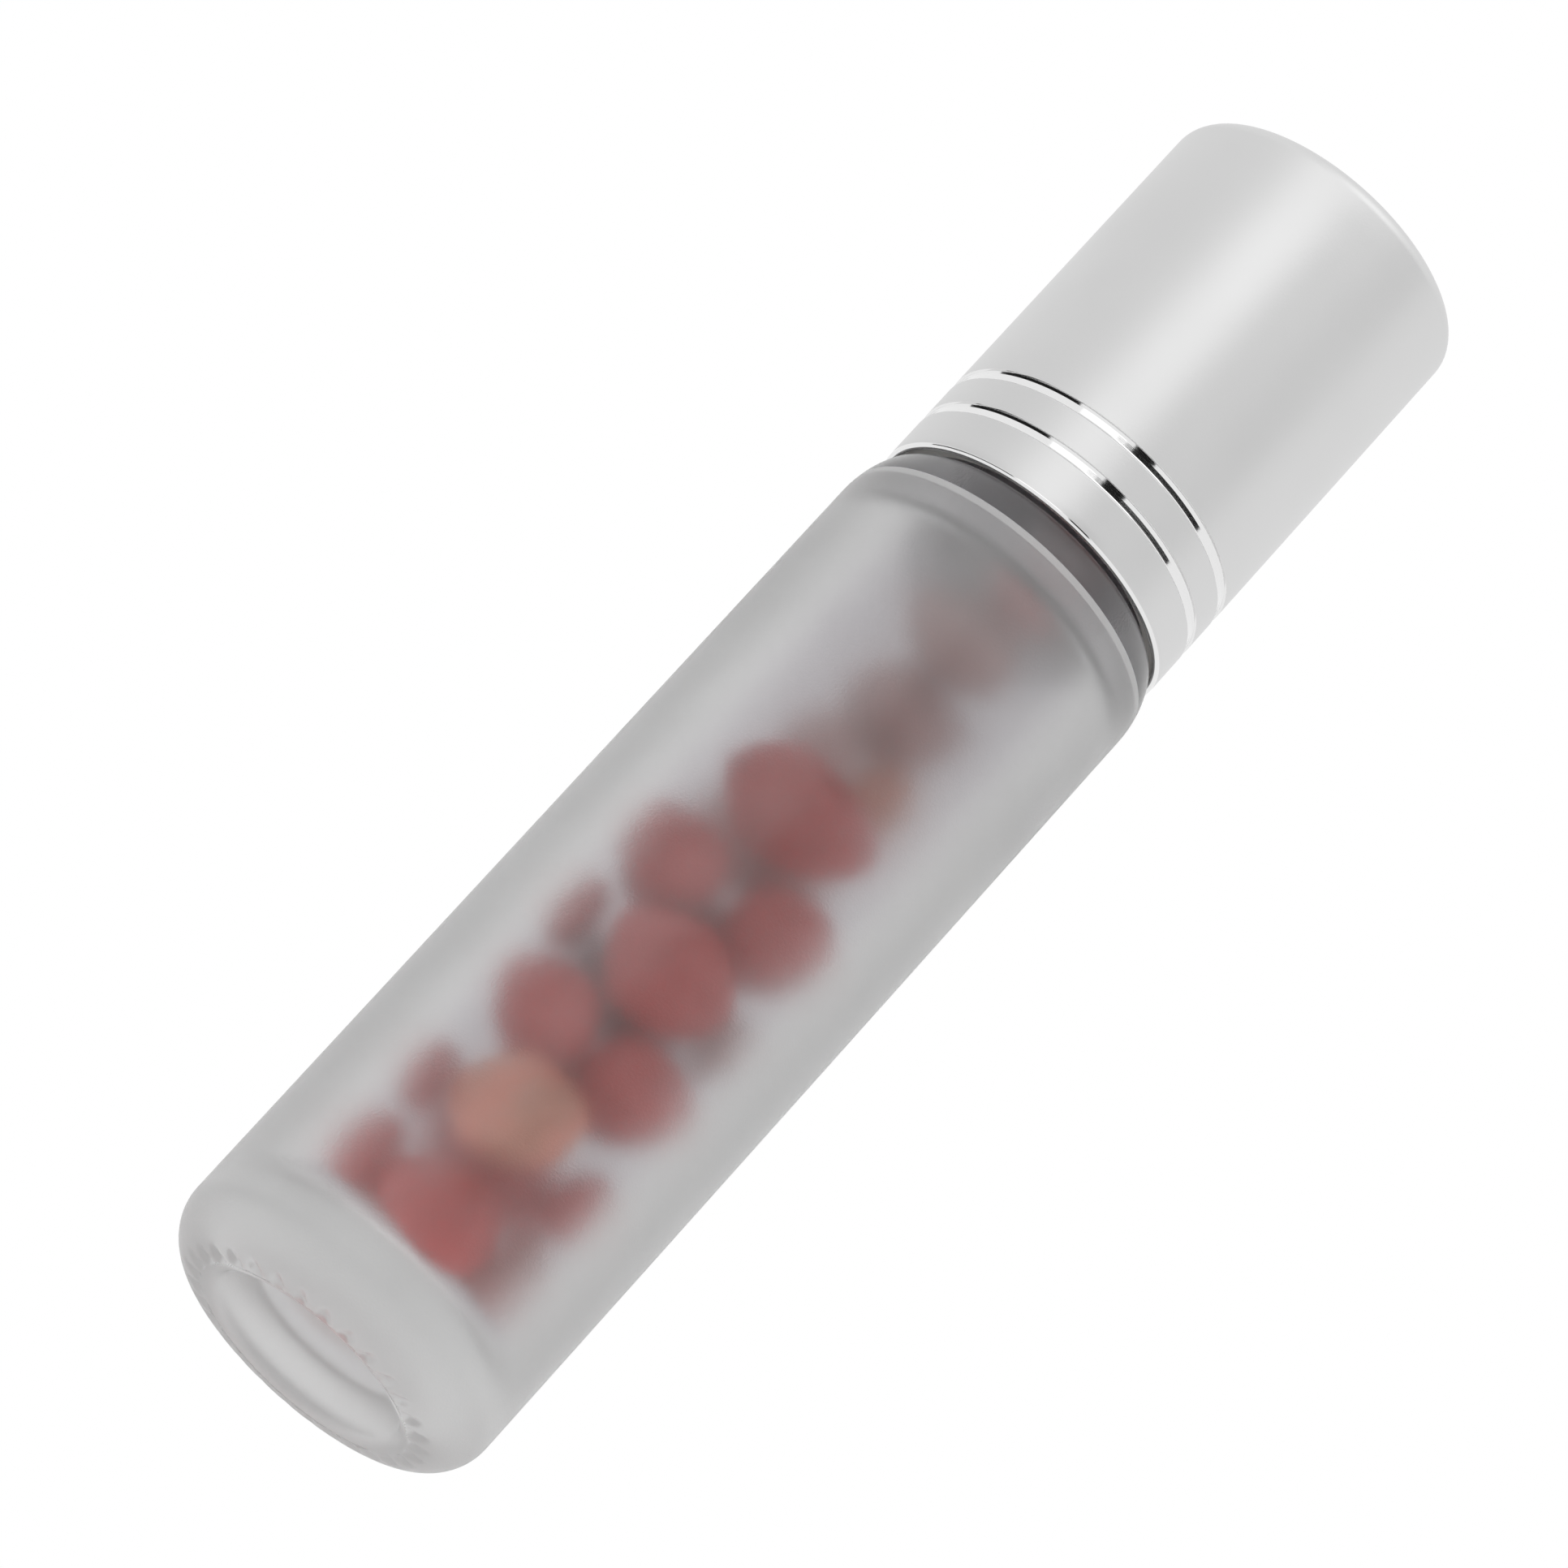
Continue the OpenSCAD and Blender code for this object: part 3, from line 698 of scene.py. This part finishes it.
class ROLLON_OT_cap_shell(bpy.types.Operator):
    """Makes the drawn aluminium shell with its cut rings and rolled edge"""

    bl_idname = "rollon.cap_shell"
    bl_label = "Cap Shell"

    def execute(self, context):
        cap = context.scene.rollon_cap
        segments = 192
        outer, inner = cap.shell_radius, cap.shell_radius - cap.shell_wall
        hem = cap.shell_wall / 2
        edge_z = cap.top - cap.edge_radius
        inner_edge = cap.edge_radius - cap.shell_wall
        half = cap.ring_width / 2
        rings = [cap.lower_edge + cap.low_ring, cap.lower_edge + cap.low_ring + cap.ring_step]
        moves = [
            ("line", outer - cap.edge_radius, cap.top, 10),
            ("arc", outer - cap.edge_radius, edge_z, -90, 14),
        ]
        for ring in reversed(rings):
            for depth, rise, steps in RING_CUT:
                moves.append(("line", outer - cap.ring_depth * depth, ring + half * rise, steps))
        moves += [
            ("line", outer, cap.lower_edge + hem, 5),
            ("arc", outer - hem, cap.lower_edge + hem, -180, 12),
            ("line", inner, edge_z, 12),
            ("arc", inner - inner_edge, edge_z, 90, 8),
            ("line", 0, cap.top - cap.shell_wall, 6),
        ]
        bm = bmesh.new()
        draw_profile(bm, (0, cap.top), moves)
        spin_profile(bm, segments)
        for face in bm.faces:
            place = face.calc_center_median()
            outside = math.hypot(place.x, place.y) > inner + 0.1 * MM
            in_ring = outside and any(abs(place.z - ring) < half for ring in rings)
            on_rim = place.z < cap.lower_edge + hem
            face.material_index = 1 if in_ring or on_rim else 0
        finishes = [anodised_aluminium(cap.anodised), bright_cut_aluminium(cap.bright_cut)]
        finish_piece(bm, "aluminium_shell", finishes, "cap", ["cap_shell"], sharp_angle=30)
        return {"FINISHED"}


class ROLLON_OT_cap_lining(bpy.types.Operator):
    """Dresses the cap's liner and its foam wad"""

    bl_idname = "rollon.cap_lining"
    bl_label = "Cap Lining"

    def execute(self, context):
        fitting = context.scene.rollon_fitting
        dress_node("cap_liner", moulded_polypropylene("liner_polypropylene", fitting.liner))
        dress_node("cap_wad", polyethylene_foam(fitting.wad))
        return {"FINISHED"}


def direction(azimuth, elevation):
    """The direction of an azimuth and an elevation in degrees, where azimuth 0 is -Y and 90 is +X."""
    across, up = math.radians(azimuth), math.radians(elevation)
    return Vector((math.sin(across) * math.cos(up), -math.cos(across) * math.cos(up), math.sin(up)))


def make_world(studio):
    """A plain white surround, in which the glass shows a greyer studio behind the bottle."""
    world = bpy.data.worlds.new("studio")
    bpy.context.scene.world = world
    world.use_nodes = True
    tree = world.node_tree
    tree.nodes.clear()
    toward = add_node(tree, "ShaderNodeSeparateXYZ",
                      {"Vector": add_node(tree, "ShaderNodeTexCoord").outputs["Generated"]})
    # The studio is greyer behind the bottle, most of all to the right and straight behind it.
    across = add_node(tree, "ShaderNodeMapRange", {
        "Value": toward.outputs["X"], "From Min": -1.0, "From Max": 1.0,
        "To Min": studio.behind + 0.05, "To Max": studio.behind - 0.09,
    })
    back = add_node(tree, "ShaderNodeMapRange", {
        "Value": toward.outputs["Y"], "From Min": -0.2, "From Max": 0.4,
        "To Min": 1.0, "To Max": across.outputs["Result"],
    })
    straight = add_node(tree, "ShaderNodeMapRange", {
        "Value": toward.outputs["Y"], "From Min": 0.6, "From Max": 0.94, "To Min": 1.0, "To Max": 0.82,
    })
    grey = add_node(tree, "ShaderNodeMath", {0: back.outputs["Result"], 1: straight.outputs["Result"]},
                    operation="MULTIPLY")
    rays = add_node(tree, "ShaderNodeLightPath")
    shown = add_node(tree, "ShaderNodeMapRange", {
        "Value": rays.outputs["Is Transmission Ray"], "To Min": 1.0, "To Max": grey.outputs[0],
    })
    seen = rays.outputs["Is Camera Ray"]
    for ray in ("Is Glossy Ray", "Is Transmission Ray"):
        seen = add_node(tree, "ShaderNodeMath", {0: seen, 1: rays.outputs[ray]},
                        operation="MAXIMUM").outputs[0]
    strength = add_node(tree, "ShaderNodeMapRange", {
        "Value": seen, "To Min": studio.surround, "To Max": shown.outputs["Result"],
    })
    light = add_node(tree, "ShaderNodeBackground",
                     {"Color": (1, 1, 1, 1), "Strength": strength.outputs["Result"]})
    add_node(tree, "ShaderNodeOutputWorld", {"Surface": light.outputs[0]})


def make_floor(studio):
    """A pale matt floor. The camera looks up through it, so only its upper side shows, and metal and glass
    see past it to the white surround."""
    half_width = 3.0
    material, tree = new_material("pale_floor")
    rays = add_node(tree, "ShaderNodeLightPath")
    passing = add_node(tree, "ShaderNodeNewGeometry").outputs["Backfacing"]
    for ray in ("Is Shadow Ray", "Is Glossy Ray", "Is Transmission Ray"):
        passing = add_node(tree, "ShaderNodeMath", {0: passing, 1: rays.outputs[ray]},
                           operation="MAXIMUM").outputs[0]
    matt = add_node(tree, "ShaderNodeBsdfDiffuse", {"Color": with_alpha(studio.floor)})
    clear = add_node(tree, "ShaderNodeBsdfTransparent")
    mixed = add_node(tree, "ShaderNodeMixShader", {0: passing, 1: matt.outputs[0], 2: clear.outputs[0]})
    add_node(tree, "ShaderNodeOutputMaterial", {"Surface": mixed.outputs[0]})
    bm = bmesh.new()
    bmesh.ops.create_grid(bm, x_segments=1, y_segments=1, size=half_width)
    new_object("floor", new_mesh("floor", bm, [material]))


def add_flag(name, azimuths, elevations, distance, height, material):
    """A dark studio flag that only metal reflects: a patch of a sphere round a height on the bottle, between
    two azimuths and two elevations in degrees."""
    left, right = (math.radians(angle) for angle in azimuths)
    low, high = (math.radians(angle) for angle in elevations)
    bm = bmesh.new()
    first = bm.verts.new((0, -distance * math.cos(low), distance * math.sin(low)))
    bmesh.ops.spin(bm, geom=[first], cent=(0, 0, 0), axis=(-1, 0, 0), angle=high - low, steps=6)
    bmesh.ops.rotate(bm, verts=bm.verts[:], cent=(0, 0, 0), matrix=Matrix.Rotation(left, 3, "Z"))
    bmesh.ops.spin(
        bm, geom=bm.verts[:] + bm.edges[:], cent=(0, 0, 0), axis=(0, 0, 1), angle=right - left, steps=12,
    )
    bmesh.ops.translate(bm, verts=bm.verts[:], vec=(0, 0, height))
    flag = new_object(name, new_mesh(name, bm, [material]))
    for ray in ("camera", "diffuse", "transmission", "volume_scatter", "shadow"):
        setattr(flag, f"visible_{ray}", False)


def add_lamp(name, power, studio, azimuth, elevation):
    """A square soft lamp that faces the bottle."""
    data = bpy.data.lights.new(name, "AREA")
    data.energy = power
    data.size = studio.lamp_size
    away = direction(azimuth, elevation)
    lamp = new_object(name, data)
    lamp.location = Vector((0, 0, studio.lamp_aim)) + away * studio.lamp_distance
    lamp.rotation_mode = "QUATERNION"
    lamp.rotation_quaternion = (-away).to_track_quat("-Z", "Y")


def make_camera(studio):
    """A long lens that looks up at the bottle, turned so that the bottle leans to the right."""
    camera = new_object("camera", bpy.data.cameras.new("camera"))
    away = direction(0, studio.elevation)
    camera.location = Vector((studio.aim_across, 0, studio.aim_height)) + away * studio.distance
    camera.rotation_mode = "QUATERNION"
    turn = Quaternion((0, 0, 1), math.radians(studio.roll))
    camera.rotation_quaternion = (-away).to_track_quat("-Z", "Y") @ turn
    camera.data.sensor_width = 36
    camera.data.lens = studio.lens
    camera.data.clip_start = 0.01
    camera.data.clip_end = 20
    bpy.context.scene.camera = camera


class ROLLON_OT_stage(bpy.types.Operator):
    """Makes the pale floor, the soft light and the camera"""

    bl_idname = "rollon.stage"
    bl_label = "Stage"

    def execute(self, context):
        studio = context.scene.rollon_studio
        context.scene.view_settings.view_transform = "Standard"
        make_world(studio)
        make_floor(studio)
        black, tree = new_material("black_flag")
        glow = add_node(tree, "ShaderNodeEmission", {"Color": (0.01, 0.01, 0.01, 1), "Strength": 1.0})
        add_node(tree, "ShaderNodeOutputMaterial", {"Surface": glow.outputs[0]})
        black.cycles.emission_sampling = "NONE"
        for name, (azimuths, elevations, distance) in FLAGS.items():
            add_flag(name, azimuths, elevations, distance, studio.flag_height, black)
        add_lamp("key", studio.key_power, studio, azimuth=-24, elevation=22)
        add_lamp("side", studio.side_power, studio, azimuth=10, elevation=50)
        make_camera(studio)
        return {"FINISHED"}


class ROLLON_PT_panel(bpy.types.Panel):
    """Lists the bottle's pieces in the sidebar"""

    bl_label = "Roll-on Bottle"
    bl_idname = "ROLLON_PT_panel"
    bl_space_type = "VIEW_3D"
    bl_region_type = "UI"
    bl_category = "Roll-on Bottle"

    def draw(self, context):
        for settings, operators in PARTS:
            box = self.layout.box()
            group = getattr(context.scene, settings)
            for name in group.__annotations__:
                box.prop(group, name)
            for operator in operators:
                box.operator(operator)


GROUPS = {
    "rollon_glass": GlassSettings,
    "rollon_thread": ThreadSettings,
    "rollon_stones": StoneSettings,
    "rollon_fitting": FittingSettings,
    "rollon_cap": CapSettings,
    "rollon_studio": StudioSettings,
}
PARTS = [
    ("rollon_glass", ["rollon.glass"]),
    ("rollon_thread", []),
    ("rollon_stones", ["rollon.stones"]),
    ("rollon_fitting", ["rollon.roller", "rollon.cap_lining"]),
    ("rollon_cap", ["rollon.cap_shell"]),
    ("rollon_studio", ["rollon.stage"]),
]
CLASSES = [
    *GROUPS.values(), ROLLON_OT_glass, ROLLON_OT_stones, ROLLON_OT_roller, ROLLON_OT_cap_shell,
    ROLLON_OT_cap_lining, ROLLON_OT_stage, ROLLON_PT_panel,
]


def register():
    """Adds the settings, the operators and the panel."""
    for cls in CLASSES:
        bpy.utils.register_class(cls)
    for name, group in GROUPS.items():
        setattr(bpy.types.Scene, name, PointerProperty(type=group))


def unregister():
    """Takes them away again."""
    for name in GROUPS:
        delattr(bpy.types.Scene, name)
    for cls in reversed(CLASSES):
        bpy.utils.unregister_class(cls)


def main():
    """Makes the stage and every piece."""
    register()
    bpy.ops.rollon.stage()
    bpy.ops.rollon.glass()
    bpy.ops.rollon.stones()
    bpy.ops.rollon.roller()
    bpy.ops.rollon.cap_lining()
    bpy.ops.rollon.cap_shell()


if __name__ == "__main__":
    main()
